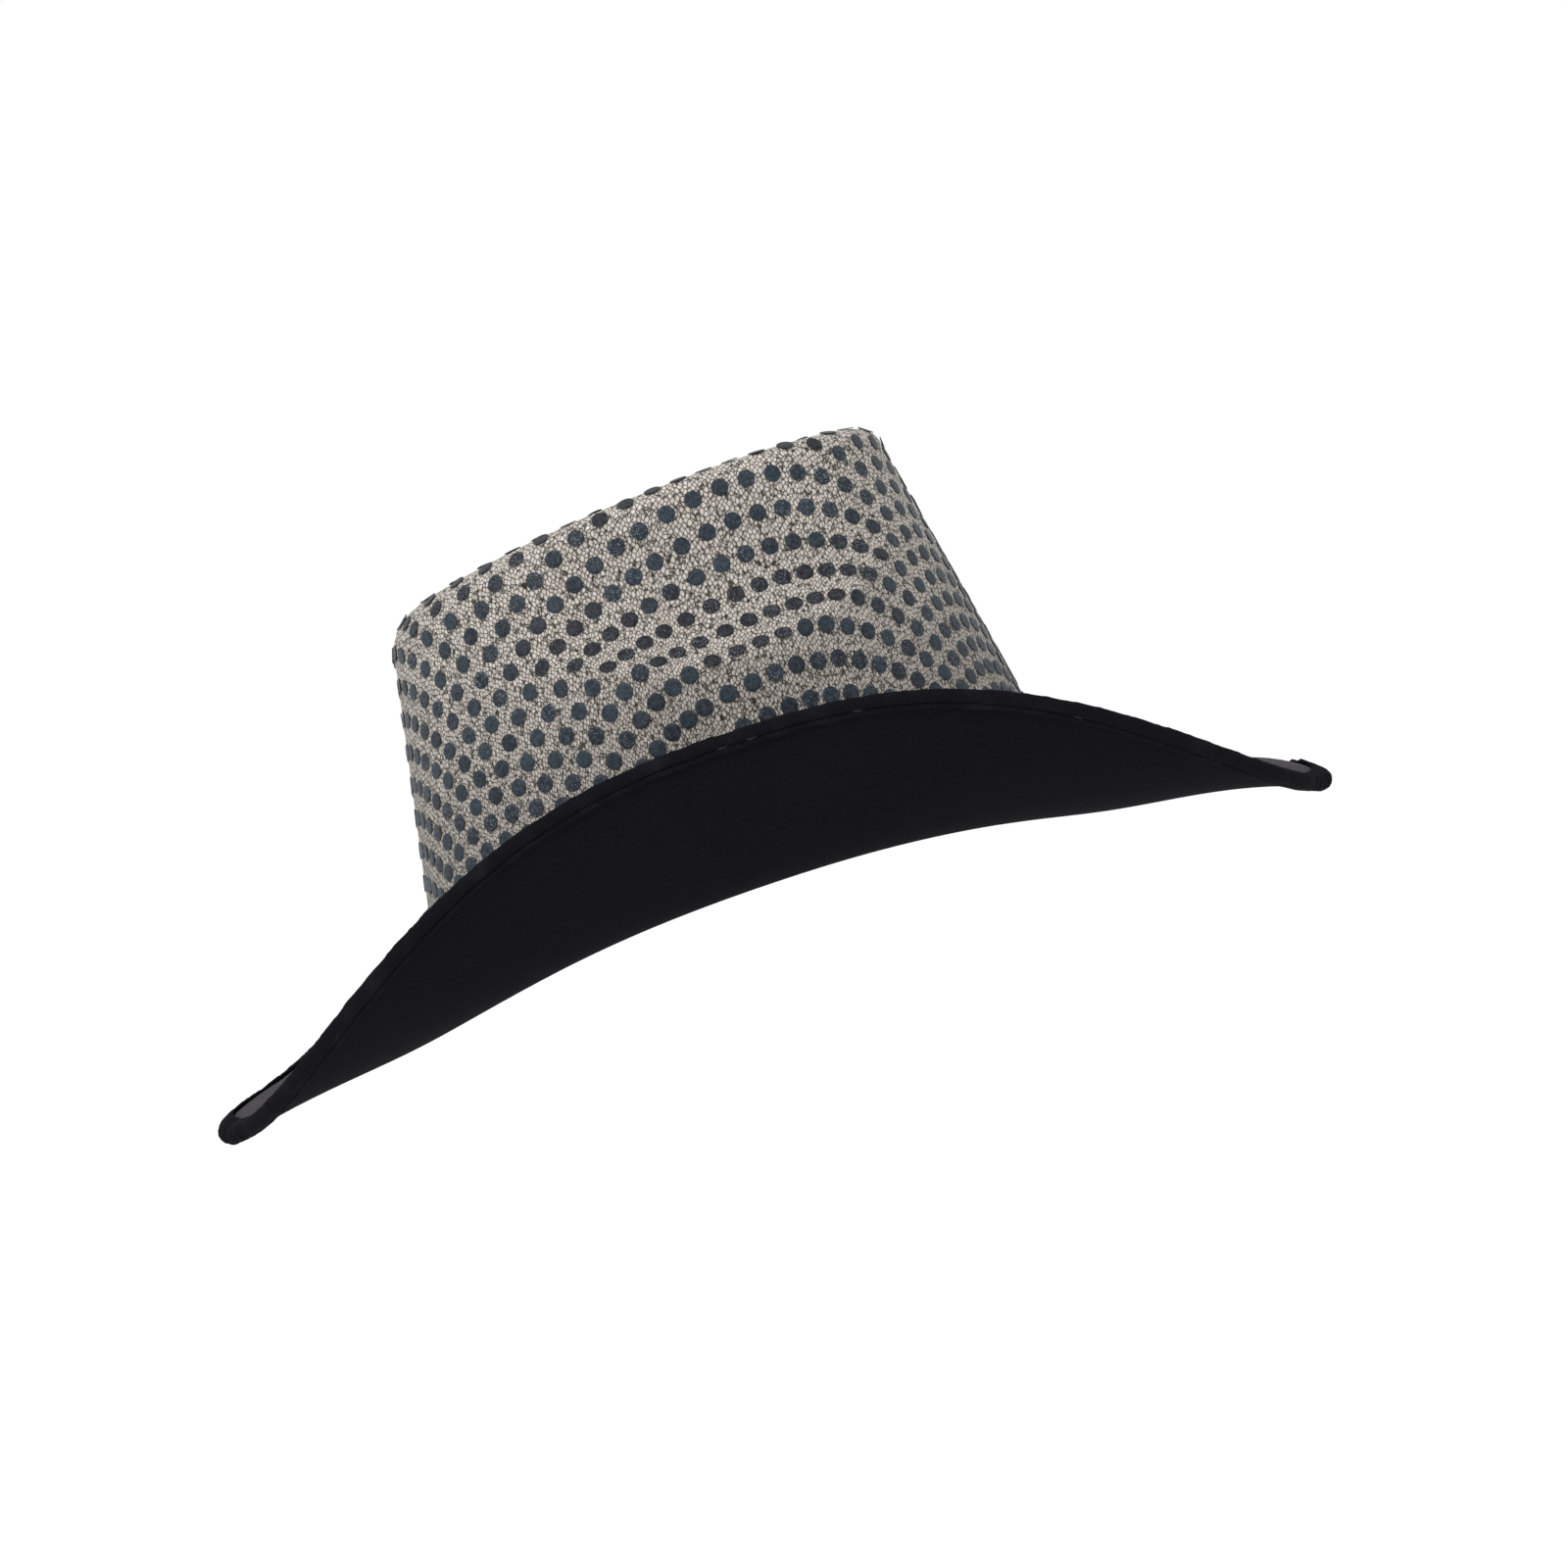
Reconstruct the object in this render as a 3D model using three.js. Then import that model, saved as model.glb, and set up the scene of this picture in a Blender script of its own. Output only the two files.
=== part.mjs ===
// Party cowboy hat: a sequin-fabric crown on a moulded shell, and a rolled brim of
// three layers bound with tape over a shaping wire. Millimetres, +Z up, front at -Y.
// The origin is the middle of the head opening, level with the join at the sides.

import * as THREE from 'three';

// Crown
const CROWN_HALF_LENGTH = 106.3;
const CROWN_HALF_WIDTH = 84.6;
const CROWN_SQUARENESS = 2.2;
const CROWN_HEIGHT = 119.8;
const CROWN_BACK_RISE = 0.059;
const CROWN_ARCH = 2.6;
const JOIN_DIP = 16.5;
const TOP_HALF_LENGTH = 83;
const TOP_SHIFT_BACK = -1.9;
const TOP_HALF_WIDTH = 60;
const TOP_FRONT_PINCH = 5;
const TOP_ROUND_FRONT = 17;
const TOP_ROUND_BACK = 7.5;
const CREASE_DEPTH = 24;
const CREASE_HALF_WIDTH = 24;
const DENT_CENTRE = 14;
const DENT_HALF_LENGTH = 52;
const DENT_LIP_HEIGHT = 0.54;
const DENT_LIP_RISE = 0.12;

// Brim
const BRIM_FRONT_REACH = 185.7;
const BRIM_BACK_REACH = 187.7;
const BRIM_HALF_WIDTH = 129.7;
const BRIM_OUTLINE_POWER = 3.5;
const BRIM_OUTLINE_ROUND = 0.645;
const BRIM_SIDE_RISE = 45.1;
const BRIM_FRONT_DIP = 28.8;
const BRIM_BACK_DIP = 33.1;
const BRIM_RISE_POWER = 2.51;
const BRIM_FRONT_SWEEP = 1.78;
const BRIM_BACK_SWEEP = 1.91;
const BRIM_INNER_SLOPE = { ends: -17.8, sides: -4 };
const BRIM_EDGE_SLOPE = { front: -25.7, back: -40.3, sides: 72.8 };
const BRIM_INNER_PULL = 0.315;
const BRIM_EDGE_PULL = 0.439;
const BRIM_ROLL_SPREAD = 2.3;

// Thicknesses and clearances
const GAP = 0.3;
const COVER_THICKNESS = 0.8;
const SHELL_THICKNESS = 2;
const FELT_THICKNESS = 0.6;
const CORE_THICKNESS = 1.4;
const BINDING_THICKNESS = 0.6;
const SWEATBAND_THICKNESS = 1;
const SWEATBAND_HEM = 0.005;
const LOOSE_GAP = 0.5;

// Edge wire, binding and threads
const BINDING_OUTER_WIDTH = 4.6;
const BINDING_INNER_WIDTH = 4.4;
const BINDING_FOLD_RADIUS = 2.5;
const LAYER_INSET = 3.8;
const WIRE_RADIUS = 0.5;
const WIRE_INSET = 2.3;
const FERRULE_LENGTH = 6;
const FERRULE_WALL = 0.3;
const THREAD_RADIUS = 0.3;
const BINDING_SEAM_INSET = 2.8;
const SWEATBAND_SEAM_HEIGHT = 0.035;

// Facets
const AROUND = 56;
const WALL_ROWS = 9;
const SWEATBAND_ROWS = 3;
const ROUND_ROWS = 2;
const TOP_ROWS = 4;
const BRIM_ROWS = 4;
const SECTION_SAMPLES = 24;

const UP = new THREE.Vector3(0, 0, 1);
const vec = (x, y, z) => new THREE.Vector3(x, y, z);
const mix = THREE.MathUtils.lerp;
const smooth = THREE.MathUtils.smoothstep;
const radians = THREE.MathUtils.degToRad;
const signedPower = (v, e) => Math.sign(v) * Math.abs(v) ** e;
const angleAt = (i) => (2 * Math.PI * i) / AROUND;

// Line where the crown meets the brim: t = 0 at the back, 90 degrees at the +X side.
function joinPoint(t) {
  const e = 2 / CROWN_SQUARENESS;
  const x = CROWN_HALF_WIDTH * signedPower(Math.sin(t), e);
  const y = CROWN_HALF_LENGTH * signedPower(Math.cos(t), e);
  return vec(x, y, -JOIN_DIP * Math.cos(t) ** 2);
}

// Where the wall would meet the top if the edge between them were sharp.
function topCorner(t) {
  const e = 2 / CROWN_SQUARENESS;
  const halfWidth = TOP_HALF_WIDTH + TOP_FRONT_PINCH * Math.cos(t);
  const y = TOP_SHIFT_BACK + TOP_HALF_LENGTH * signedPower(Math.cos(t), e);
  const z = CROWN_HEIGHT + CROWN_BACK_RISE * y - CROWN_ARCH * (y / TOP_HALF_LENGTH) ** 2;
  return vec(halfWidth * signedPower(Math.sin(t), e), y, z);
}

// How far the side has moved in from the join (0) to the top corner (1) at a height.
function sideInset(height, y) {
  const along = (y - DENT_CENTRE) / DENT_HALF_LENGTH;
  const lip = DENT_LIP_HEIGHT + DENT_LIP_RISE * Math.min(1, along ** 2);
  const above = Math.max(0, (height - lip) / (1 - lip));
  const dented = 0.12 * Math.min(1, height / lip) + 0.88 * (1 - (1 - above) ** 4);
  return mix(height, dented, Math.exp(-(along ** 4)));
}

// Outer face of the crown: row 0 to 1 is the wall, 1 to 2 the rounded edge, 2 to 3 the top.
function crownPoint(t, row) {
  const join = joinPoint(t);
  const corner = topCorner(t);
  const radius = mix(TOP_ROUND_BACK, TOP_ROUND_FRONT, smooth(-Math.cos(t), 0, 1));
  const z = mix(join.z, corner.z - radius, Math.min(row, 1));
  const height = Math.max(0, z / corner.z);
  const y = mix(join.y, corner.y, height);
  const wall = vec(mix(join.x, corner.x, sideInset(height, y)), y, z);
  if (row <= 1) return wall;
  const turn = (Math.min(row, 2) - 1) * Math.PI / 2;
  const inward = vec(-wall.x, -wall.y, 0).normalize();
  const edge = wall.addScaledVector(inward, radius * (1 - Math.cos(turn)));
  edge.z += radius * Math.sin(turn);
  if (row <= 2) return edge;
  const k = row - 2;
  const groove = 0.3 + 0.7 * Math.exp(-((edge.x * (1 - k) / CREASE_HALF_WIDTH) ** 2));
  const depth = CREASE_DEPTH * smooth(k, 0, 0.6) * groove;
  return vec(edge.x * (1 - k), edge.y * (1 - k), mix(edge.z, CROWN_HEIGHT, k) - depth);
}

function crownNormal(t, row) {
  if (row > 2.999) return UP.clone();
  const step = 0.004;
  const around = crownPoint(t + step, row).sub(crownPoint(t - step, row));
  const upper = crownPoint(t, Math.min(row + step, 3));
  const lower = crownPoint(t, Math.max(row - step, 0));
  return upper.sub(lower).cross(around).normalize();
}

function crownOffset(t, row, depth) {
  return crownPoint(t, row).addScaledVector(crownNormal(t, row), -depth);
}

// Outer edge of the brim, rolled up at the sides and dipped at the front and back.
function brimEdge(t) {
  const c = Math.cos(t);
  const back = c > 0;
  const outline = (1 - Math.abs(c) ** BRIM_OUTLINE_POWER) ** BRIM_OUTLINE_ROUND;
  const x = BRIM_HALF_WIDTH * Math.sign(Math.sin(t)) * outline;
  const dip = back ? BRIM_BACK_DIP : BRIM_FRONT_DIP;
  const sweep = back ? BRIM_BACK_SWEEP : BRIM_FRONT_SWEEP;
  const rise = (1 - Math.abs(c) ** BRIM_RISE_POWER) ** sweep;
  return vec(x, (back ? BRIM_BACK_REACH : BRIM_FRONT_REACH) * c, mix(-dip, BRIM_SIDE_RISE, rise));
}

// Section of the brim's lower face at angle t, as points from the join to the edge.
function brimSection(t) {
  const join = joinPoint(t);
  const edge = brimEdge(t);
  const side = Math.abs(Math.sin(t)) ** BRIM_ROLL_SPREAD;
  const endSlope = Math.cos(t) > 0 ? BRIM_EDGE_SLOPE.back : BRIM_EDGE_SLOPE.front;
  const innerSlope = radians(mix(BRIM_INNER_SLOPE.ends, BRIM_INNER_SLOPE.sides, side));
  const edgeSlope = radians(mix(endSlope, BRIM_EDGE_SLOPE.sides, side));
  const outward = vec(edge.x - join.x, edge.y - join.y, 0).normalize();
  const reach = join.distanceTo(edge);
  const direction = (a) => outward.clone().multiplyScalar(Math.cos(a)).addScaledVector(UP, Math.sin(a));
  const inner = join.clone().addScaledVector(direction(innerSlope), BRIM_INNER_PULL * reach);
  const outer = edge.clone().addScaledVector(direction(edgeSlope), -BRIM_EDGE_PULL * reach);
  return new THREE.CubicBezierCurve3(join, inner, outer, edge).getPoints(SECTION_SAMPLES);
}

// Point on the brim's lower face, a distance in from the edge measured along the section.
function brimFace(t, inset) {
  const section = brimSection(t).reverse();
  let left = inset;
  for (let i = 0; i < SECTION_SAMPLES; i += 1) {
    const length = section[i].distanceTo(section[i + 1]);
    if (left <= length || i === SECTION_SAMPLES - 1) {
      return section[i].clone().lerp(section[i + 1], left / length);
    }
    left -= length;
  }
  return section[SECTION_SAMPLES];
}

function brimWidth(t) {
  const section = brimSection(t);
  return section.slice(1).reduce((sum, point, i) => sum + point.distanceTo(section[i]), 0);
}

// Brim point at an inset from the edge and a height above the lower face.
function brimPoint(t, inset, above) {
  const step = 0.004;
  const around = brimFace(t + step, inset).sub(brimFace(t - step, inset));
  const inward = brimFace(t, inset + 0.5).sub(brimFace(t, inset - 0.5));
  const normal = inward.cross(around).normalize();
  return brimFace(t, inset).addScaledVector(normal, above);
}

// Two triangles over the corners a, b, c, d of a face, split from a to c or from b to d.
function splitFace(a, b, c, d, fromA) {
  return fromA ? [a, b, c, a, c, d] : [a, b, d, b, c, d];
}

// Closed body from a row of sections with the same number of points; a ring joins its ends.
// The second half of a section runs back along the first, and its faces split the same way.
function sweptBody(sections, isRing) {
  const count = sections[0].length;
  const points = sections.flat();
  const index = [];
  const spans = isRing ? sections.length : sections.length - 1;
  for (let i = 0; i < spans; i += 1) {
    const here = i * count;
    const next = ((i + 1) % sections.length) * count;
    for (let k = 0; k < count; k += 1) {
      const other = (k + 1) % count;
      index.push(...splitFace(here + k, here + other, next + other, next + k, k < count / 2));
    }
  }
  if (!isRing) {
    const last = (sections.length - 1) * count;
    for (let k = 1; k < count - 1; k += 1) {
      index.push(0, k + 1, k, last, last + k, last + k + 1);
    }
  }
  return closedGeometry(points, index);
}

// Domed body with an outer and an inner face, open at the bottom.
function domeBody(outer, inner, outerTip, innerTip) {
  const rings = [...outer].reverse().concat(inner);
  const points = rings.flat().concat([outerTip, innerTip]);
  const index = [];
  const tip = points.length - 2;
  for (let i = 0; i < AROUND; i += 1) {
    const other = (i + 1) % AROUND;
    for (let r = 0; r < rings.length - 1; r += 1) {
      const a = r * AROUND;
      const b = a + AROUND;
      index.push(...splitFace(a + i, b + i, b + other, a + other, r < outer.length));
    }
    const last = (rings.length - 1) * AROUND;
    index.push(tip, i, other, tip + 1, last + other, last + i);
  }
  return closedGeometry(points, index);
}

// Indexed geometry whose faces all point out of the body.
function closedGeometry(points, index) {
  let volume = 0;
  for (let i = 0; i < index.length; i += 3) {
    const [a, b, c] = [points[index[i]], points[index[i + 1]], points[index[i + 2]]];
    volume += a.dot(b.clone().cross(c));
  }
  const facing = volume > 0 ? index : [...index].reverse();
  const geometry = new THREE.BufferGeometry().setFromPoints(points);
  geometry.setIndex(facing);
  geometry.computeVertexNormals();
  return geometry;
}

function ringOf(section) {
  const sections = Array.from({ length: AROUND }, (_, i) => section(angleAt(i)));
  return sweptBody(sections, true);
}

// Rows of the crown from the join to just short of the middle of the top.
function crownRows(firstRow) {
  const wall = Array.from({ length: WALL_ROWS + 1 }, (_, i) => mix(firstRow, 1, i / WALL_ROWS));
  const round = Array.from({ length: ROUND_ROWS }, (_, i) => 1 + (i + 1) / ROUND_ROWS);
  const top = Array.from({ length: TOP_ROWS }, (_, i) => 2 + (i + 1) / (TOP_ROWS + 1));
  return [...wall, ...round, ...top];
}

function crownLayer(outerDepth, thickness) {
  const rings = (depth) => crownRows(0).map((row) => (
    Array.from({ length: AROUND }, (_, i) => crownOffset(angleAt(i), row, depth))
  ));
  const tipAt = (depth) => crownOffset(0, 3, depth);
  const innerDepth = outerDepth + thickness;
  return domeBody(rings(outerDepth), rings(innerDepth), tipAt(outerDepth), tipAt(innerDepth));
}

function brimLayer(lower, thickness) {
  return ringOf((t) => {
    const inner = brimWidth(t) - LOOSE_GAP;
    const insetAt = (_, i) => mix(inner, BINDING_OUTER_WIDTH, i / BRIM_ROWS);
    const insets = [...Array.from({ length: BRIM_ROWS + 1 }, insetAt), LAYER_INSET];
    const under = insets.map((inset) => brimPoint(t, inset, lower));
    const over = insets.map((inset) => brimPoint(t, inset, lower + thickness));
    return [...under, ...over.reverse()];
  });
}

const coreBase = FELT_THICKNESS + GAP;
const topFeltBase = coreBase + CORE_THICKNESS + GAP;
const brimThickness = topFeltBase + FELT_THICKNESS;
const edgeMiddle = brimThickness / 2;

// Tape folded over the edge, wider on the lower face than on the upper one.
function bindingSection(t) {
  const fold = (radius) => Array.from({ length: 4 }, (_, i) => {
    const turn = mix(-Math.PI / 2, Math.PI / 2, i / 3);
    const inset = BINDING_FOLD_RADIUS - radius * Math.cos(turn);
    return brimPoint(t, inset, edgeMiddle + radius * Math.sin(turn));
  });
  const clear = edgeMiddle + GAP;
  const full = clear + BINDING_THICKNESS;
  const face = (half) => [
    brimPoint(t, BINDING_OUTER_WIDTH, edgeMiddle - half),
    brimPoint(t, LAYER_INSET, edgeMiddle - half),
    ...fold(half),
    brimPoint(t, LAYER_INSET, edgeMiddle + half),
    brimPoint(t, BINDING_INNER_WIDTH, edgeMiddle + half),
  ];
  return [...face(full), ...face(clear).reverse()];
}

// Round section of a wire or thread on a path given by angle, in the plane it crosses.
function roundSection(path, t, radius, sides) {
  const along = path(t + 0.004).sub(path(t - 0.004)).normalize();
  const across = along.clone().cross(UP).normalize();
  const upward = across.clone().cross(along);
  return Array.from({ length: sides }, (_, i) => {
    const turn = (2 * Math.PI * i) / sides;
    const offset = across.clone().multiplyScalar(Math.cos(turn) * radius);
    return path(t).add(offset).addScaledVector(upward, Math.sin(turn) * radius);
  });
}

const wirePath = (t) => brimPoint(t, WIRE_INSET, edgeMiddle);
const bindingSeamPath = (t) => {
  const below = edgeMiddle + GAP + BINDING_THICKNESS + GAP + THREAD_RADIUS;
  return brimPoint(t, BINDING_SEAM_INSET, edgeMiddle - below);
};
const sweatbandDepth = COVER_THICKNESS + GAP + SHELL_THICKNESS + LOOSE_GAP;
const sweatbandSeamPath = (t) => {
  const depth = sweatbandDepth + SWEATBAND_THICKNESS + LOOSE_GAP + THREAD_RADIUS;
  return crownOffset(t, SWEATBAND_SEAM_HEIGHT, depth);
};

const threadRing = (path) => ringOf((t) => roundSection(path, t, THREAD_RADIUS, 4));

// Shaping wire: nearly a full turn, with its ends meeting inside the ferrule at the back.
function wireBody() {
  const endAngle = 0.006;
  const middle = Array.from({ length: AROUND - 1 }, (_, i) => angleAt(i + 1));
  const angles = [endAngle, ...middle, 2 * Math.PI - endAngle];
  return sweptBody(angles.map((t) => roundSection(wirePath, t, WIRE_RADIUS, 6)), false);
}

// Straight sleeve over the wire's ends, set halfway between the bend of the wire it holds.
function ferruleBody() {
  const bore = WIRE_RADIUS + GAP;
  const outside = bore + FERRULE_WALL;
  const half = FERRULE_LENGTH / 2;
  const bend = wirePath(angleAt(1)).sub(wirePath(0));
  const centre = wirePath(0).addScaledVector(vec(0, bend.y, bend.z), half / bend.x / 2);
  const corners = [[bore, -half], [outside, -half], [outside, half], [bore, half]];
  const sides = 16;
  const sections = Array.from({ length: sides }, (_, i) => {
    const turn = (2 * Math.PI * i) / sides;
    const place = ([radius, x]) => vec(x, radius * Math.cos(turn), radius * Math.sin(turn)).add(centre);
    return corners.map(place);
  });
  return sweptBody(sections, true);
}

// Band of ribbon standing against the inside of the crown wall.
function sweatbandSection(t) {
  const above = Array.from({ length: SWEATBAND_ROWS }, (_, i) => (i + 1) / WALL_ROWS);
  const rows = [SWEATBAND_HEM, ...above];
  const outer = rows.map((row) => crownOffset(t, row, sweatbandDepth));
  const inner = rows.map((row) => crownOffset(t, row, sweatbandDepth + SWEATBAND_THICKNESS));
  return [...outer, ...inner.reverse()];
}

const cloth = (color, roughness = 0.9) => new THREE.MeshStandardMaterial({ color, roughness, metalness: 0 });
const metal = (color) => new THREE.MeshStandardMaterial({ color, roughness: 0.4, metalness: 0.9 });
const knit = cloth(0x9a8f84, 0.8);
const blackFelt = cloth(0x131316);
const charcoalSatin = cloth(0x333136, 0.6);
const boardFelt = cloth(0x2a2a2c);
const bindingTape = cloth(0x1c1c20, 0.75);
const ribbon = cloth(0x151518, 0.7);
const thread = cloth(0x1a1a1d, 0.6);
const springSteel = metal(0x8c8f92);

const group = new THREE.Group();
group.name = 'party_cowboy_hat';

function addPart(name, geometry, material) {
  const mesh = new THREE.Mesh(geometry, material);
  mesh.name = name;
  group.add(mesh);
}

addPart('crown_cover', crownLayer(0, COVER_THICKNESS), knit);
addPart('crown_shell', crownLayer(COVER_THICKNESS + GAP, SHELL_THICKNESS), boardFelt);
addPart('brim_underside', brimLayer(0, FELT_THICKNESS), blackFelt);
addPart('brim_core', brimLayer(coreBase, CORE_THICKNESS), boardFelt);
addPart('brim_top_cover', brimLayer(topFeltBase, FELT_THICKNESS), charcoalSatin);
addPart('edge_binding', ringOf(bindingSection), bindingTape);
addPart('brim_wire', wireBody(), springSteel);
addPart('wire_ferrule', ferruleBody(), springSteel);
addPart('binding_stitching', threadRing(bindingSeamPath), thread);
addPart('sweatband', ringOf(sweatbandSection), ribbon);
addPart('sweatband_stitching', threadRing(sweatbandSeamPath), thread);

export default group;
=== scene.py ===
import math

import bpy
import numpy as np
from mathutils import Matrix, Vector


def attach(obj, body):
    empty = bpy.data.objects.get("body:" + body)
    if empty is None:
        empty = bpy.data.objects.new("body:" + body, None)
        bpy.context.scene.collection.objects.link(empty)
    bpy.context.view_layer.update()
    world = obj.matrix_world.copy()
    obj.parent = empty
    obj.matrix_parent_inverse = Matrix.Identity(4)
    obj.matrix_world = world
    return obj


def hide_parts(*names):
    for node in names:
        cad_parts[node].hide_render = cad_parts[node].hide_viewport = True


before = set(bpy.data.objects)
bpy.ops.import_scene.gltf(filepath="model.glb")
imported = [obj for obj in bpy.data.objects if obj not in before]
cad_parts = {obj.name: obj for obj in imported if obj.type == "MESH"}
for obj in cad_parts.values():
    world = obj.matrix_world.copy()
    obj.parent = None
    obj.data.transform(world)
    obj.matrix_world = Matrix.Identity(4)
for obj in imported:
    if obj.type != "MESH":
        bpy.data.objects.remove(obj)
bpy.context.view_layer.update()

# Party cowboy hat. Metres, +Z up, front at -Y; shapes are worked out in millimetres
# from the same dimensions as the CAD and scaled by MM when a mesh is made.

MM = 0.001

# View
LENS_MM = 50
SENSOR_MM = 36
VIEW_AZIMUTH = 4.58
VIEW_ELEVATION = 2.94
VIEW_ROLL = 18.14
VIEW_DISTANCE = 0.7103
VIEW_TARGET = (0, 0.0187, 0.0213)

# Crown
CROWN_HALF_LENGTH = 106.3
CROWN_HALF_WIDTH = 84.6
CROWN_SQUARENESS = 2.2
CROWN_HEIGHT = 119.8
CROWN_BACK_RISE = 0.059
CROWN_ARCH = 2.6
JOIN_DIP = 16.5
TOP_HALF_LENGTH = 83
TOP_SHIFT_BACK = -1.9
TOP_HALF_WIDTH = 60
TOP_FRONT_PINCH = 5
TOP_ROUND_FRONT = 17
TOP_ROUND_BACK = 7.5
CREASE_DEPTH = 24
CREASE_HALF_WIDTH = 24
DENT_CENTRE = 14
DENT_HALF_LENGTH = 52
DENT_LIP_HEIGHT = 0.54
DENT_LIP_RISE = 0.12

# Brim
BRIM_FRONT_REACH = 185.7
BRIM_BACK_REACH = 187.7
BRIM_HALF_WIDTH = 129.7
BRIM_OUTLINE_POWER = 3.5
BRIM_OUTLINE_ROUND = 0.645
BRIM_SIDE_RISE = 45.1
BRIM_FRONT_DIP = 28.8
BRIM_BACK_DIP = 33.1
BRIM_RISE_POWER = 2.51
BRIM_FRONT_SWEEP = 1.78
BRIM_BACK_SWEEP = 1.91
INNER_SLOPE_ENDS, INNER_SLOPE_SIDES = -17.8, -4
EDGE_SLOPE_FRONT, EDGE_SLOPE_BACK, EDGE_SLOPE_SIDES = -25.7, -40.3, 72.8
BRIM_INNER_PULL = 0.315
BRIM_EDGE_PULL = 0.439
BRIM_ROLL_SPREAD = 2.3

# Layers: crown depths are below the outer face, brim levels above the lower face. The brim's layers
# end LAYER_INSET short of the edge and JOIN_GAP short of the join, where a wider gap lets light through.
KNIT_LAYER = (0, 0.8)
SHELL_LAYER = (1.1, 3.1)
SWEATBAND_LAYER = (3.6, 4.6)
UNDERSIDE_LAYER = (0, 0.6)
CORE_LAYER = (0.9, 2.3)
TOP_COVER_LAYER = (2.6, 3.2)
EDGE_LEVEL = 1.6
LAYER_INSET = 3.8
JOIN_GAP = 0.02

# Sequin fabric: sequins sit on a slanted lattice of the flat cloth, laid out for LATTICE_REACH on each
# side of its start, which is past the ends of the cloth
SEQUIN_RADIUS = 2.65
SEQUIN_THICKNESS = 0.3
SEQUIN_SPACING = 8.4
SEQUIN_ROW_SHIFT = 0.145
SEQUIN_START = (12.3, 55.5)
SEQUIN_LOWEST_ROW = 0.055
SEQUIN_LEAST_DISTANCE = 5.45
SEQUIN_SIDES = 20
LATTICE_REACH = 280
CLOTH_STRETCH = 1.25
CLOTH_SKEW = 0.136
CLOTH_TURN_POWER_FRONT = 0.88
CLOTH_TURN_POWER_BACK = 1.27

# Knit: beads to a metre of cloth, and how far their rows are turned from its length, in radians
KNIT_CELLS = 900
KNIT_TURN = 0.55

# Sweatband: rows of the crown wall that it covers, its seam, and the lap of its ends in radians
SWEATBAND_FROM_ROW = 0.006
SWEATBAND_TO_ROW = 0.335
SWEATBAND_SEAM_ROW = 0.035
SWEATBAND_SEAM_STAND = 0.28
SWEATBAND_LAP = 0.16
SWEATBAND_LAP_STEP = 1.35
SWEATBAND_SAG = 0.25

rng = np.random.default_rng(7)


# ---------------------------------------------------------------- shapes

def lerp(a, b, k):
    return a + (b - a) * k


def smooth(value, low, high):
    k = np.clip((value - low) / (high - low), 0, 1)
    return k * k * (3 - 2 * k)


def signed_power(value, power):
    return np.sign(value) * np.abs(value) ** power


def unit(vectors):
    return vectors / np.maximum(np.linalg.norm(vectors, axis=-1, keepdims=True), 1e-9)


def points_of(x, y, z):
    return np.stack(np.broadcast_arrays(x, y, z), axis=-1).astype(float)


def join_point(t):
    """Line where the crown meets the brim: t = 0 at the back, 90 degrees at the +X side."""
    e = 2 / CROWN_SQUARENESS
    return points_of(
        CROWN_HALF_WIDTH * signed_power(np.sin(t), e),
        CROWN_HALF_LENGTH * signed_power(np.cos(t), e),
        -JOIN_DIP * np.cos(t) ** 2,
    )


def top_corner(t):
    e = 2 / CROWN_SQUARENESS
    y = TOP_SHIFT_BACK + TOP_HALF_LENGTH * signed_power(np.cos(t), e)
    half_width = TOP_HALF_WIDTH + TOP_FRONT_PINCH * np.cos(t)
    arch = CROWN_ARCH * (y / TOP_HALF_LENGTH) ** 2
    return points_of(half_width * signed_power(np.sin(t), e), y, CROWN_HEIGHT + CROWN_BACK_RISE * y - arch)


def side_inset(height, y):
    """How far the side has moved in from the join (0) to the top corner (1)."""
    along = (y - DENT_CENTRE) / DENT_HALF_LENGTH
    lip = DENT_LIP_HEIGHT + DENT_LIP_RISE * np.minimum(1, along**2)
    above = np.maximum(0, (height - lip) / (1 - lip))
    dented = 0.12 * np.minimum(1, height / lip) + 0.88 * (1 - (1 - above) ** 4)
    return lerp(height, dented, np.exp(-(along**4)))


def crown_point(t, row):
    """Outer face: row 0 to 1 is the wall, 1 to 2 the rounded edge, 2 to 3 the top."""
    t, row = np.broadcast_arrays(np.asarray(t, float), np.asarray(row, float))
    join = join_point(t)
    corner = top_corner(t)
    radius = lerp(TOP_ROUND_BACK, TOP_ROUND_FRONT, smooth(-np.cos(t), 0, 1))
    z = lerp(join[..., 2], corner[..., 2] - radius, np.minimum(row, 1))
    height = np.maximum(0, z / corner[..., 2])
    y = lerp(join[..., 1], corner[..., 1], height)
    x = lerp(join[..., 0], corner[..., 0], side_inset(height, y))
    turn = (np.clip(row, 1, 2) - 1) * np.pi / 2
    pull = radius * (1 - np.cos(turn)) / np.hypot(x, y)
    k = np.clip(row - 2, 0, 1)
    edge_x = x * (1 - pull)
    edge_y = y * (1 - pull)
    edge_z = z + radius * np.sin(turn)
    groove = 0.3 + 0.7 * np.exp(-((edge_x * (1 - k) / CREASE_HALF_WIDTH) ** 2))
    crease = CREASE_DEPTH * smooth(k, 0, 0.6) * groove
    return points_of(edge_x * (1 - k), edge_y * (1 - k), lerp(edge_z, CROWN_HEIGHT, k) - crease)


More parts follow.
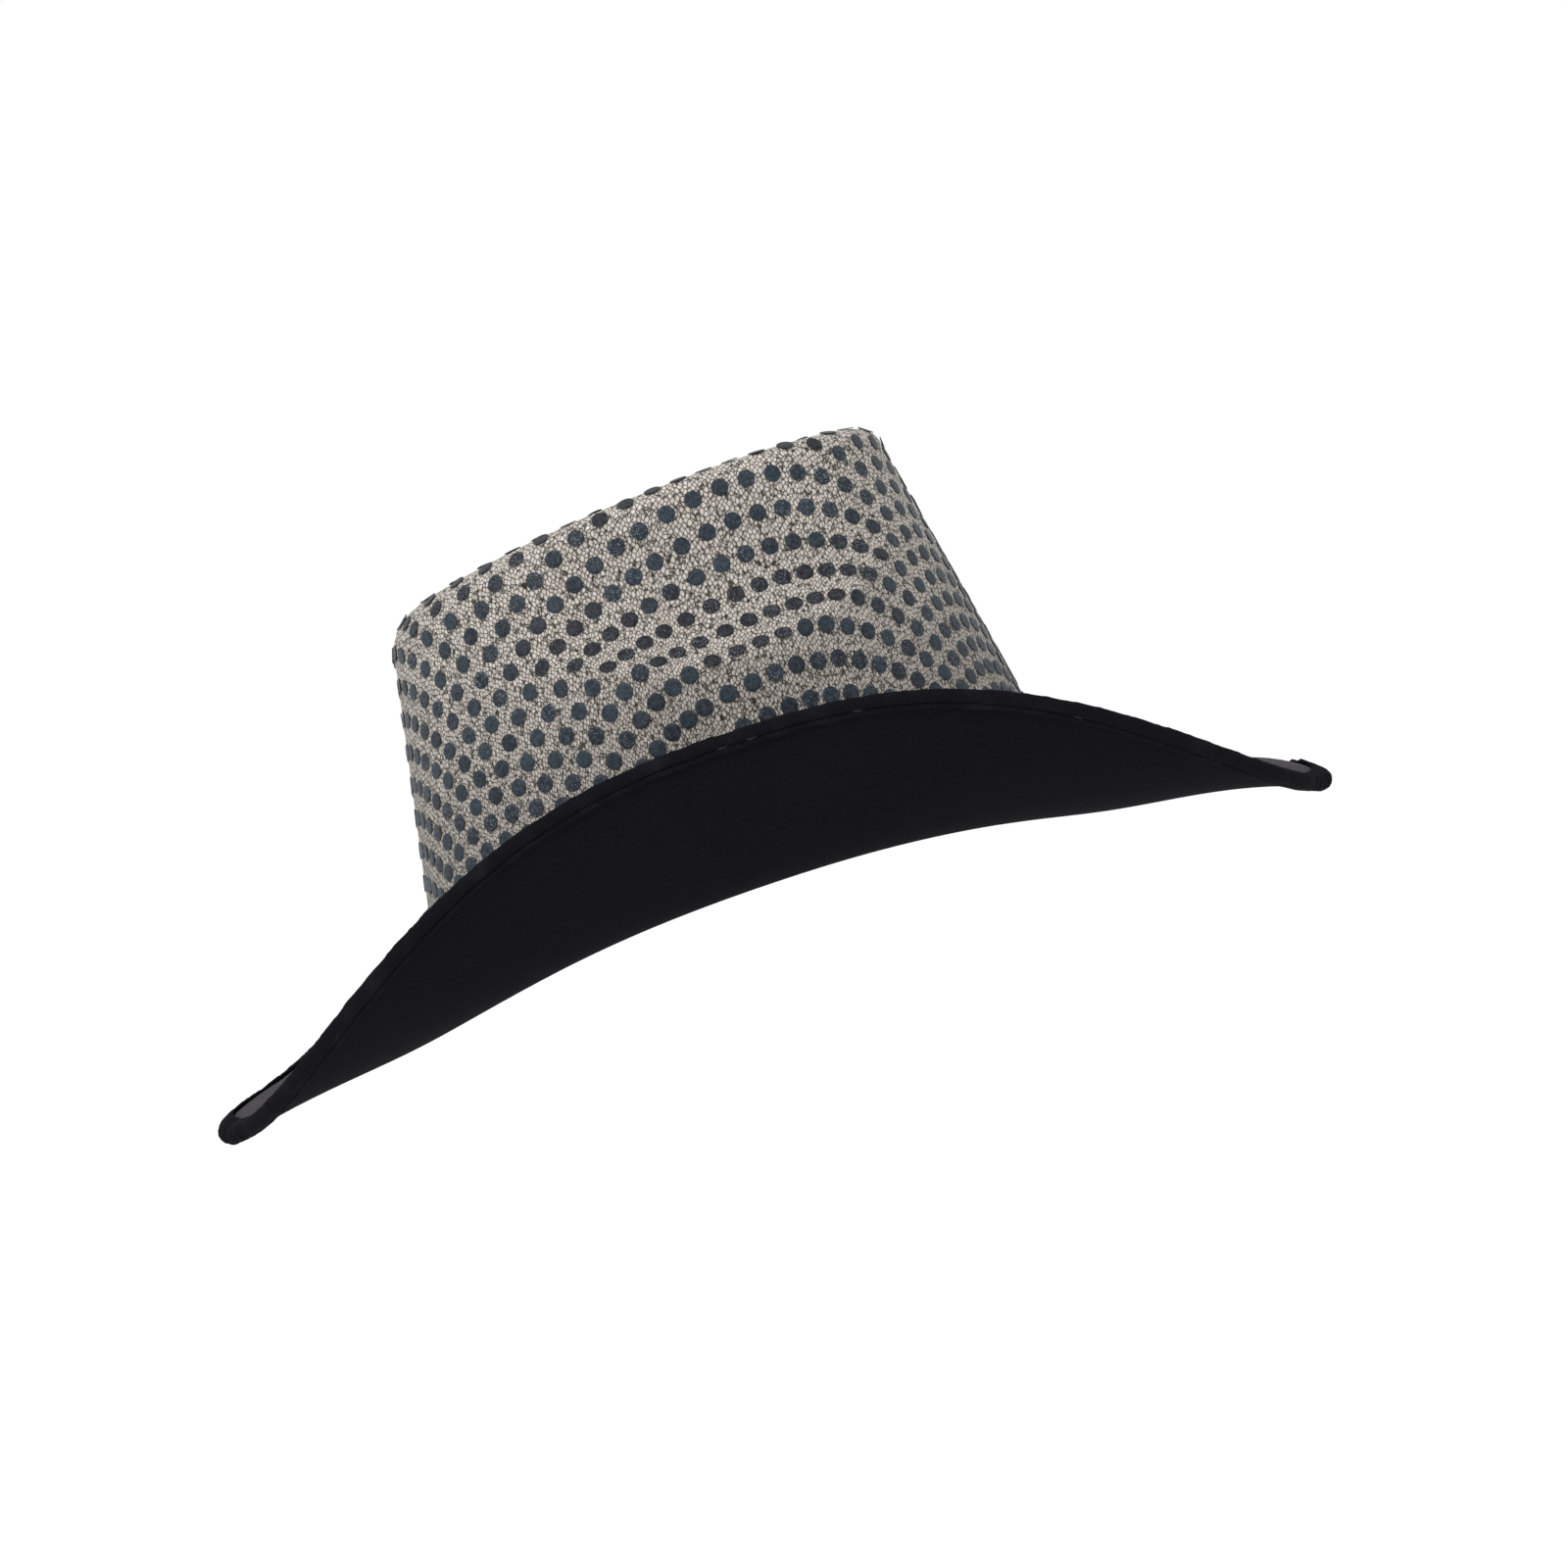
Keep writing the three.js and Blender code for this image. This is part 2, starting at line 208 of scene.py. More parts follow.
def crown_normal(t, row):
    step = 0.004
    t, row = np.broadcast_arrays(np.asarray(t, float), np.asarray(row, float))
    around = crown_point(t + step, row) - crown_point(t - step, row)
    rise = crown_point(t, np.minimum(row + step, 3)) - crown_point(t, np.maximum(row - step, 0))
    normal = unit(np.cross(rise, around))
    normal[row > 2.995] = (0, 0, 1)
    return normal


def crown_offset(t, row, depth):
    return crown_point(t, row) - crown_normal(t, row) * np.asarray(depth)[..., None]


def brim_edge(t):
    """Outer edge of the brim, rolled up at the sides and dipped at the front and back."""
    c = np.cos(t)
    back = c > 0
    outline = np.maximum(0, 1 - np.abs(c) ** BRIM_OUTLINE_POWER) ** BRIM_OUTLINE_ROUND
    dip = np.where(back, BRIM_BACK_DIP, BRIM_FRONT_DIP)
    sweep = np.where(back, BRIM_BACK_SWEEP, BRIM_FRONT_SWEEP)
    rise = np.maximum(0, 1 - np.abs(c) ** BRIM_RISE_POWER) ** sweep
    y = np.where(back, BRIM_BACK_REACH, BRIM_FRONT_REACH) * c
    return points_of(BRIM_HALF_WIDTH * np.sign(np.sin(t)) * outline, y, lerp(-dip, BRIM_SIDE_RISE, rise))


def brim_sections(t, samples=72):
    """Sections of the brim's lower face from the edge to the join, one for each angle."""
    t = np.asarray(t, float)
    join = join_point(t)
    edge = brim_edge(t)
    side = np.abs(np.sin(t)) ** BRIM_ROLL_SPREAD
    end_slope = np.where(np.cos(t) > 0, EDGE_SLOPE_BACK, EDGE_SLOPE_FRONT)
    inner_slope = np.radians(lerp(INNER_SLOPE_ENDS, INNER_SLOPE_SIDES, side))
    edge_slope = np.radians(lerp(end_slope, EDGE_SLOPE_SIDES, side))
    outward = unit((edge - join) * (1, 1, 0))
    reach = np.linalg.norm(edge - join, axis=-1)[..., None]

    def direction(angle):
        return outward * np.cos(angle)[..., None] + points_of(0 * angle, 0 * angle, np.sin(angle))

    inner = join + direction(inner_slope) * BRIM_INNER_PULL * reach
    outer = edge - direction(edge_slope) * BRIM_EDGE_PULL * reach
    k = np.linspace(1, 0, samples + 1)[None, :, None]
    join, inner, outer, edge = (p[:, None, :] for p in (join, inner, outer, edge))
    return (1 - k) ** 3 * join + 3 * (1 - k) ** 2 * k * inner + 3 * (1 - k) * k**2 * outer + k**3 * edge


def brim_lengths(sections):
    steps = np.linalg.norm(np.diff(sections, axis=1), axis=2)
    return np.concatenate([np.zeros((len(sections), 1)), np.cumsum(steps, axis=1)], axis=1)


def brim_width(t):
    return brim_lengths(brim_sections(t))[:, -1]


def brim_face(t, inset):
    """Points on the lower face, inset from the edge along each section; t (n), inset (n, m)."""
    sections = brim_sections(t)
    lengths = brim_lengths(sections)
    overhang = 6
    first = sections[:, :1] + unit(sections[:, :1] - sections[:, 1:2]) * overhang
    sections = np.concatenate([first, sections], axis=1)
    lengths = np.concatenate([np.full((len(lengths), 1), -overhang), lengths], axis=1)
    rows = [
        [np.interp(inset[i], lengths[i], sections[i, :, axis]) for axis in range(3)]
        for i in range(len(sections))
    ]
    return np.array(rows).transpose(0, 2, 1)


def brim_normal(t, inset):
    step = 0.004
    around = brim_face(t + step, inset) - brim_face(t - step, inset)
    inward = brim_face(t, inset + 0.5) - brim_face(t, inset - 0.5)
    return unit(np.cross(inward, around))


def brim_point(t, inset, above):
    t = np.asarray(t, float)
    inset, above = (np.broadcast_to(v, (len(t), np.shape(v)[-1])) for v in (inset, above))
    return brim_face(t, inset) + brim_normal(t, inset) * above[..., None]


def ring_angles(count):
    return np.arange(count) * 2 * np.pi / count


def waves(t, counts, seed):
    """Smooth random ripple round the hat, about -1 to 1, from whole numbers of waves."""
    own = np.random.default_rng(seed)
    total = sum(own.uniform(0.5, 1) * np.sin(n * t + own.uniform(0, 2 * np.pi)) for n in counts)
    return total / math.sqrt(len(counts) / 2)


# ------------------------------------------------- flat cloth of the crown

def cloth_coordinates(t, rows):
    """Where a grid of crown points lay on the flat cloth: (along the hat, across it)."""
    t = np.asarray(t, float)[:, None]
    points = crown_point(t, rows[None, :])
    steps = np.linalg.norm(np.diff(points, axis=1), axis=2)
    climbed = np.concatenate([np.zeros((len(t), 1)), np.cumsum(steps, axis=1)], axis=1)
    rim_row = int(np.argmin(np.abs(rows - 2)))
    below = np.maximum(0, climbed[:, rim_row:rim_row + 1] - climbed) / CLOTH_STRETCH
    anchor = points[:, np.maximum(np.arange(len(rows)), rim_row)]
    from_side = 1 - np.arccos(np.minimum(1, np.abs(np.cos(t)))) / (np.pi / 2)
    power = np.where(np.cos(t) > 0, CLOTH_TURN_POWER_BACK, CLOTH_TURN_POWER_FRONT)
    turn = from_side**power * np.pi / 2
    along = anchor[..., 1] + np.sign(np.cos(t)) * np.sin(turn) * below
    across = anchor[..., 0] + np.sign(np.sin(t)) * np.cos(turn) * below + CLOTH_SKEW * anchor[..., 1]
    return np.stack([along, across], axis=-1)


def crown_rows(wall, rounded, top):
    return np.concatenate([
        np.linspace(0, 1, wall + 1),
        1 + np.arange(1, rounded + 1) / rounded,
        2 + np.arange(1, top + 1) / (top + 1),
    ])


def sequin_places():
    """(t, row) of every lattice point of the cloth that falls on the crown."""
    angles = np.linspace(0, 2 * np.pi, 193)
    rows = crown_rows(36, 6, 16)
    flat = cloth_coordinates(angles, rows)
    n, m = flat.shape[:2]
    index = np.arange(n * m).reshape(n, m)
    a, b, c, d = (index[:-1, :-1], index[1:, :-1], index[1:, 1:], index[:-1, 1:])
    corners = np.concatenate([
        np.stack([a, b, c], axis=-1).reshape(-1, 3),
        np.stack([a, c, d], axis=-1).reshape(-1, 3),
    ])
    flat = flat.reshape(-1, 2)
    grid = np.stack(np.meshgrid(angles, rows, indexing="ij"), axis=-1).reshape(-1, 2)
    p, q, r = (flat[corners[:, k]] for k in range(3))
    area = (q[:, 0] - p[:, 0]) * (r[:, 1] - p[:, 1]) - (q[:, 1] - p[:, 1]) * (r[:, 0] - p[:, 0])
    usable = np.abs(area) > 1e-6
    corners, p, q, r, area = (v[usable] for v in (corners, p, q, r, area))
    reach = int(LATTICE_REACH / SEQUIN_SPACING)
    places = []
    for j in range(-reach, reach + 1):
        for i in range(-reach, reach + 1):
            along = SEQUIN_START[0] + (i + SEQUIN_ROW_SHIFT * j) * SEQUIN_SPACING
            across = SEQUIN_START[1] + j * SEQUIN_SPACING
            u = ((along - p[:, 0]) * (r[:, 1] - p[:, 1]) - (across - p[:, 1]) * (r[:, 0] - p[:, 0])) / area
            v = ((q[:, 0] - p[:, 0]) * (across - p[:, 1]) - (q[:, 1] - p[:, 1]) * (along - p[:, 0])) / area
            inside = np.nonzero((u >= 0) & (v >= 0) & (u + v <= 1))[0]
            if len(inside):
                k = inside[0]
                weights = np.array([1 - u[k] - v[k], u[k], v[k]])
                places.append(weights @ grid[corners[k]])
    places = np.array(places)
    places = places[places[:, 1] > SEQUIN_LOWEST_ROW]
    points, kept = crown_point(places[:, 0], places[:, 1]), []
    for k, point in enumerate(points):
        if all(np.linalg.norm(points[other] - point) > SEQUIN_LEAST_DISTANCE for other in kept):
            kept.append(k)
    return places[kept]


# ------------------------------------------------------------ meshes

def make_object(name, vertices, faces, uv=None, sharp_angle=50):
    """Mesh object from vertices in millimetres; uv holds one pair for each face corner."""
    mesh = bpy.data.meshes.new(name)
    mesh.from_pydata((np.asarray(vertices) * MM).tolist(), [], [list(face) for face in faces])
    if uv is not None:
        layer = mesh.uv_layers.new(name="cloth")
        layer.data.foreach_set("uv", (np.asarray(uv, np.float32) * MM).ravel())
    mesh.polygons.foreach_set("use_smooth", [True] * len(mesh.polygons))
    mesh.set_sharp_from_angle(angle=math.radians(sharp_angle))
    mesh.update()
    piece = bpy.data.objects.new(name, mesh)
    bpy.context.scene.collection.objects.link(piece)
    return piece


def faces_out(vertices, faces):
    """Whether the faces of a closed body point out, by the sign of the volume they enclose."""
    first, second, third = (vertices[faces[:, k]] for k in range(3))
    volume = (first * np.cross(second, third)).sum()
    if faces.shape[1] == 4:
        volume += (first * np.cross(third, vertices[faces[:, 3]])).sum()
    return volume >= 0


def loop_body(name, sections, uv, is_ring=True, **settings):
    """Closed body through sections (n, m, 3), each a closed loop; uv is (n + 1, m + 1, 2)."""
    n, m = sections.shape[:2]
    spans = n if is_ring else n - 1
    i, k = (v.ravel() for v in np.meshgrid(np.arange(spans), np.arange(m), indexing="ij"))
    corners = [(i, k), (i, k + 1), (i + 1, k + 1), (i + 1, k)]
    faces = np.stack([(a % n) * m + b % m for a, b in corners], axis=-1)
    cloth = np.stack([uv[a, b] for a, b in corners], axis=1)
    vertices = sections.reshape(-1, 3)
    if not faces_out(vertices, faces):
        faces, cloth = faces[:, ::-1], cloth[:, ::-1]
    faces, cloth = faces.tolist(), cloth.reshape(-1, 2)
    if not is_ring:
        ends = [list(range(m)), list(range((n - 1) * m, n * m))]
        for end, inner in zip(ends, (1, n - 2)):
            ring = vertices[end]
            centre = ring.mean(axis=0)
            facing = np.cross(ring - centre, np.roll(ring, -1, axis=0) - centre).sum(axis=0)
            away = centre - sections[inner].mean(axis=0)
            faces.append(end if facing @ away > 0 else end[::-1])
            cloth = np.concatenate([cloth, np.zeros((m, 2))])
    return make_object(name, vertices, faces, cloth, **settings)


def ring_uv(along, across):
    """UV of a ring body: distance round it against distance along its section."""
    return np.stack(np.meshgrid(along, across, indexing="ij"), axis=-1)


def section_lengths(section):
    steps = np.linalg.norm(np.diff(np.concatenate([section, section[:1]]), axis=0), axis=1)
    return np.concatenate([[0], np.cumsum(steps)])


def dome_body(name, layer, rows, count):
    """Closed crown layer between two depths, open at the bottom, with cloth coordinates."""
    angles = ring_angles(count)
    outer = crown_offset(angles[:, None], rows[None, :], np.full((count, len(rows)), layer[0]))
    inner = crown_offset(angles[:, None], rows[None, :], np.full((count, len(rows)), layer[1]))
    tips = np.array([crown_offset(0, 3, depth) for depth in layer]).reshape(2, 3)
    flat = cloth_coordinates(np.append(angles, 2 * np.pi), rows)
    profile = np.concatenate([outer[:, ::-1], inner], axis=1)
    flat = np.concatenate([flat[:, ::-1], flat], axis=1)
    m = profile.shape[1]
    i, k = (v.ravel() for v in np.meshgrid(np.arange(count), np.arange(m - 1), indexing="ij"))
    corners = [(i, k), (i, k + 1), (i + 1, k + 1), (i + 1, k)]
    faces = np.stack([(a % count) * m + b for a, b in corners], axis=-1)
    cloth = np.stack([flat[a, b] for a, b in corners], axis=1)
    vertices = np.concatenate([profile.reshape(-1, 3), tips])
    turned = not faces_out(vertices, faces)
    if turned:
        faces, cloth = faces[:, ::-1], cloth[:, ::-1]
    faces, cloth = faces.tolist(), [cloth.reshape(-1, 2)]
    for tip, edge in ((len(vertices) - 2, 0), (len(vertices) - 1, m - 1)):
        for a in range(count):
            here, after = a * m + edge, ((a + 1) % count) * m + edge
            flip = (edge == 0) == turned
            faces.append([tip, after, here] if flip else [tip, here, after])
            pair = [flat[a + 1, edge], flat[a, edge]] if flip else [flat[a, edge], flat[a + 1, edge]]
            cloth.append(np.array([(0, 0), *pair]))
    return make_object(name, vertices, faces, np.concatenate(cloth))


def brim_layer(name, layer, count=420, rows=26, unevenness=0.0, seed=1):
    """Closed brim layer from just short of the crown out to an inset from the edge."""
    angles = ring_angles(count)
    width = brim_width(angles)[:, None]
    share = np.linspace(0, 1, rows)[None, :]
    inset = lerp(width - JOIN_GAP, LAYER_INSET, share)
    drape = waves(angles, (5, 7, 11, 13), seed)[:, None] * np.sin(share * np.pi) * unevenness
    low = brim_point(angles, inset, np.full_like(inset, layer[0]) + drape)
    high = brim_point(angles, inset, np.full_like(inset, layer[1]) + drape)
    sections = np.concatenate([low, high[:, ::-1]], axis=1)
    middle = low[:, rows // 2]
    along = np.concatenate([[0], np.cumsum(np.linalg.norm(np.roll(middle, -1, axis=0) - middle, axis=1))])
    reach = np.concatenate([inset, inset[:, ::-1], inset[:, :1]], axis=1)
    reach = np.concatenate([reach, reach[:1]])
    uv = np.stack([np.broadcast_to(along[:, None], reach.shape), reach], axis=-1)
    return loop_body(name, sections, uv)


def tube(path, radii, sides):
    """Vertices and faces of a closed tube along a path, with its ends closed."""
    ahead = unit(np.gradient(path, axis=0))
    across = unit(np.cross(ahead, (0.0, 0.0, 1.0)))
    upward = np.cross(across, ahead)
    turn = ring_angles(sides)
    circle = np.cos(turn)[None, :, None] * across[:, None] + np.sin(turn)[None, :, None] * upward[:, None]
    rings = path[:, None] + circle * np.asarray(radii)[:, None, None]
    n = len(path)
    vertices = rings.reshape(-1, 3)
    faces = [
        [i * sides + k, i * sides + (k + 1) % sides, (i + 1) * sides + (k + 1) % sides, (i + 1) * sides + k]
        for i in range(n - 1) for k in range(sides)
    ]
    first = list(range(sides))
    last = [(n - 1) * sides + k for k in range(sides)]
    faces += [first[::-1], last]
    sample = np.array(faces[: (n - 1) * sides])
    if not faces_out(vertices, sample):
        faces = [face[::-1] for face in faces]
    return vertices, faces


def joined(name, bodies, tones):
    """One object from many (vertices, faces) bodies, each with its own tone attribute."""
    vertices, faces, colours, start = [], [], [], 0
    for (points, sides), tone in zip(bodies, tones):
        vertices.append(points)
        faces += [[v + start for v in face] for face in sides]
        start += len(points)
        colours.append(np.tile(np.append(tone, 1.0), (len(points), 1)))
    piece = make_object(name, np.concatenate(vertices), faces, sharp_angle=60)
    layer = piece.data.color_attributes.new(name="tone", type="FLOAT_COLOR", domain="POINT")
    layer.data.foreach_set("color", np.concatenate(colours).astype(np.float32).ravel())
    return piece


def sequin_body(centre, normal, along, rim_lift):
    """One domed disc lying on the cloth, its rim a little proud at one side."""
    across = np.cross(normal, along)
    sides = SEQUIN_SIDES
    turn = ring_angles(sides)
    circle = np.cos(turn)[:, None] * along + np.sin(turn)[:, None] * across
    rise = SEQUIN_THICKNESS
    rings = [(0.55, 0.04 + rise), (0.94, rise), (1.0, rise * 0.7), (0.97, 0.02)]
    lift = normal * (rim_lift * (1 + np.cos(turn)) / 2)[:, None]
    points = [centre + normal * (0.05 + rise)]
    for radius, height in rings:
        points.extend(centre + circle * radius * SEQUIN_RADIUS + normal * height + lift * radius)
    points.append(centre + normal * 0.02)
    faces = [[0, 1 + k, 1 + (k + 1) % sides] for k in range(sides)]
    for ring in range(len(rings) - 1):
        a, b = 1 + ring * sides, 1 + (ring + 1) * sides
        faces += [[a + k, b + k, b + (k + 1) % sides, a + (k + 1) % sides] for k in range(sides)]
    base, last = 1 + (len(rings) - 1) * sides, len(points) - 1
    faces += [[last, base + (k + 1) % sides, base + k] for k in range(sides)]
    return np.array(points), faces


def make_sequins():
    places = sequin_places()
    t, row = places[:, 0], places[:, 1]
    points, normals = crown_point(t, row), crown_normal(t, row)
    bodies, tones = [], []
    for centre, normal in zip(points, normals):
        tilted = unit(normal + rng.normal(0, 0.02, 3))
        spin = unit(np.cross(tilted, rng.normal(0, 1, 3)))
        bodies.append(sequin_body(centre, tilted, spin, abs(rng.normal(0, 0.15))))
        # The tone's red holds how far the sequin faces up; the sequin material turns it into painted
        # reflection.
        tones.append((0.5 + normal[2] / 2, rng.random(), rng.random()))
    return joined("sequins", bodies, np.array(tones))


# ------------------------------------------------------------- edge binding

# The tape's profile as (inset from the brim's edge, level above its lower face): BINDING_OUTER is the
# lower lip and its groove, BINDING_TOP_OUTER the upper lip, and fold_points joins them round the edge
BINDING_OUTER = (
    (4.52, -0.40), (4.6, -0.75), (4.4, -1.05), (4.1, -1.15), (3.7, -1.10),
    (3.3, -0.98), (3.02, -0.82), (2.88, -0.42), (2.74, -0.42), (2.62, -0.80),
)
BINDING_INNER = ((3.0, -0.3), (3.7, -0.3), (4.4, -0.3))
BINDING_TOP_OUTER = ((3.0, 4.12), (3.5, 4.15), (4.0, 4.10), (4.3, 3.98), (4.42, 3.8))
BINDING_TOP_INNER = ((4.35, 3.5), (3.7, 3.5), (3.0, 3.5))
FOLD_CENTRE = 2.5
FOLD_OUTER_RADIUS = 2.55
FOLD_INNER_RADIUS = 1.9
GROOVE_INSET = 2.8
GROOVE_LEVEL = -0.42
STITCH_STAND = 0.14

# How far the tape gathers, in millimetres. The tips are the front and back of the brim: they begin at
# TIP_START of the way from the middle to the end, and gather in full from TIP_FULL on.
TIP_START = 0.84
TIP_FULL = 0.985
PLEAT_DEPTH = 0.10
TIP_PLEAT_DEPTH = 0.22
RIPPLE_DEPTH = 0.08
TIP_RAGGED_DEPTH = 0.5
TIP_BULGE = 0.3
GATHER_RISE = 0.3
LOWER_LIP_WANDER = 0.12
TIP_LIP_WANDER = 0.5
UPPER_LIP_START = 2.8
UPPER_LIP_WIDTH = 1.6
TIP_LIP_REACH = 2.2
TIP_LIP_LIFT = 0.35


def fold_points(radius, steps, reverse=False):
    turn = np.linspace(-np.pi / 2, np.pi / 2, steps)
    if reverse:
        turn = turn[::-1]
    return [(FOLD_CENTRE - radius * math.cos(a), EDGE_LEVEL + radius * math.sin(a)) for a in turn]


def binding_profile():
    outer = [*BINDING_OUTER, *fold_points(FOLD_OUTER_RADIUS, 9), *BINDING_TOP_OUTER]
    inner = [*BINDING_TOP_INNER, *fold_points(FOLD_INNER_RADIUS, 7, reverse=True), *BINDING_INNER]
    return np.array(outer), np.array(inner)


def tip_amount(t):
    return smooth(np.abs(np.cos(t)), TIP_START, TIP_FULL)


def binding_sections(angles):
    """The tape's sections, gathered into small pleats that are deepest round both tips."""
    outer, inner = binding_profile()
    profile = np.concatenate([outer, inner])
    inset = np.tile(profile[:, 0], (len(angles), 1))
    above = np.tile(profile[:, 1], (len(angles), 1))
    is_outer = (np.arange(len(profile)) < len(outer))[None, :]
    coarse, fine = waves(angles, range(110, 260, 13), 3), waves(angles, range(300, 520, 17), 4)
    pleat = coarse[:, None] + 0.5 * fine[:, None]
    along = waves(angles, range(40, 120, 9), 5)[:, None]
    tip = tip_amount(angles)[:, None]
    outward = np.maximum(0, 1 - profile[:, 0] / 4)[None, :]
    side = np.sign(profile[:, 1] - EDGE_LEVEL)[None, :]
    ragged = np.clip(waves(angles, range(220, 520, 17), 8)[:, None], 0, 1.2) ** 2
    puff = np.maximum(0, pleat) * (PLEAT_DEPTH + TIP_PLEAT_DEPTH * tip) + RIPPLE_DEPTH * along
    puff = puff + TIP_RAGGED_DEPTH * tip * ragged
    bulge = TIP_BULGE * tip * np.abs(waves(angles, range(30, 150, 11), 9))[:, None]
    inset = inset - outward * puff * is_outer
    above = above + side * (puff * GATHER_RISE + bulge) * is_outer
    beyond = np.clip((profile[:, 0] - UPPER_LIP_START) / UPPER_LIP_WIDTH, 0, 1)[None, :]
    lifted = tip * beyond * (side > 0)
    inset = inset + TIP_LIP_REACH * lifted
    above = above + TIP_LIP_LIFT * lifted
    wander = LOWER_LIP_WANDER * waves(angles, range(20, 90, 7), 6)[:, None] + TIP_LIP_WANDER * tip * along
    inset = inset + wander * (profile[:, 0] > GROOVE_INSET + 0.1)[None, :] * (side < 0)
    return brim_point(angles, inset, above)


def make_binding(count=2200):
    angles = ring_angles(count)
    sections = binding_sections(angles)
    edge = brim_edge(np.append(angles, 2 * np.pi))
    along = np.concatenate([[0], np.cumsum(np.linalg.norm(np.diff(edge, axis=0), axis=1))])
    uv = ring_uv(along, section_lengths(sections[0]))
    return loop_body("binding_tape", sections, uv, sharp_angle=70)


def spaced_angles(path, spacing):
    """Angles an even distance apart along a closed path of points, from 0 to a full turn."""
    fine = np.linspace(0, 2 * np.pi, 4001)
    points = path(fine)
    lengths = np.concatenate([[0], np.cumsum(np.linalg.norm(np.diff(points, axis=0), axis=1))])
    count = int(round(lengths[-1] / spacing))
    return np.interp(np.arange(count + 1) * lengths[-1] / count, lengths, fine)


def stitch_line(name, place, spacing, share, radius, dip, glint_share):
    """Separate stitches along a seam; place(t, height) gives points at a height over the seam."""
    marks = spaced_angles(lambda t: place(t, np.zeros_like(t)), spacing)
    bodies, tones = [], []
    shape = np.array([0.0, 0.12, 0.35, 0.65, 0.88, 1.0])
    for start, end in zip(marks[:-1], marks[1:]):
        middle = (start + end) / 2 + rng.normal(0, 0.03) * (end - start)
        half = (end - start) * share / 2
        t = middle + (shape * 2 - 1) * half
        height = -dip * (np.abs(shape * 2 - 1) ** 3)
        radii = radius * np.array([0.45, 0.85, 1, 1, 0.85, 0.45])
        bodies.append(tube(place(t, height), radii, 8))
        # The tone's red marks the stitches that carry a painted glint.
        tones.append((float(rng.random() < glint_share), rng.random(), rng.random()))
    return joined(name, bodies, np.array(tones))


def binding_seam(t, height):
    above = GROOVE_LEVEL - STITCH_STAND - np.asarray(height)
    return brim_point(t, np.full((len(t), 1), GROOVE_INSET), above[:, None])[:, 0]


def sweatband_seam(t, height):
    depth = SWEATBAND_LAYER[1] + SWEATBAND_SEAM_STAND + np.asarray(height)
    return crown_offset(t, np.full_like(t, SWEATBAND_SEAM_ROW), depth)


def make_sweatband(count=320):
    """Ribbon standing against the crown's inside, its ends lapped at the back."""
    lap = SWEATBAND_LAP
    angles = np.linspace(-lap / 2, 2 * np.pi + lap / 2, count)
    inward = SWEATBAND_LAP_STEP * smooth(angles, 2 * np.pi - lap * 1.6, 2 * np.pi - lap * 0.6)
    rows = np.linspace(SWEATBAND_FROM_ROW, SWEATBAND_TO_ROW, 12)
    sag = SWEATBAND_SAG * (1 + waves(angles, (3, 5, 8), 9))[:, None] * (rows / rows[-1])[None, :] ** 2
    outer_depth = SWEATBAND_LAYER[0] + inward[:, None] + sag
    inner_depth = outer_depth + SWEATBAND_LAYER[1] - SWEATBAND_LAYER[0]
    outer = crown_offset(angles[:, None], rows[None, :], outer_depth)
    inner = crown_offset(angles[:, None], rows[None, :], inner_depth)
    sections = np.concatenate([outer, inner[:, ::-1]], axis=1)
    steps = np.linalg.norm(np.diff(outer[:, 0], axis=0), axis=1)
    along = np.concatenate([[0], np.cumsum(steps), [steps.sum()]])
    uv = ring_uv(along, section_lengths(sections[0]))
    return loop_body("sweatband_ribbon", sections, uv, is_ring=False)


# --------------------------------------------------------------- materials

def srgb(red, green, blue):
    """Linear colour from the usual 0 to 255 values."""
    def linear(v):
        v = v / 255
        return v / 12.92 if v <= 0.04045 else ((v + 0.055) / 1.055) ** 2.4
    return (linear(red), linear(green), linear(blue), 1.0)


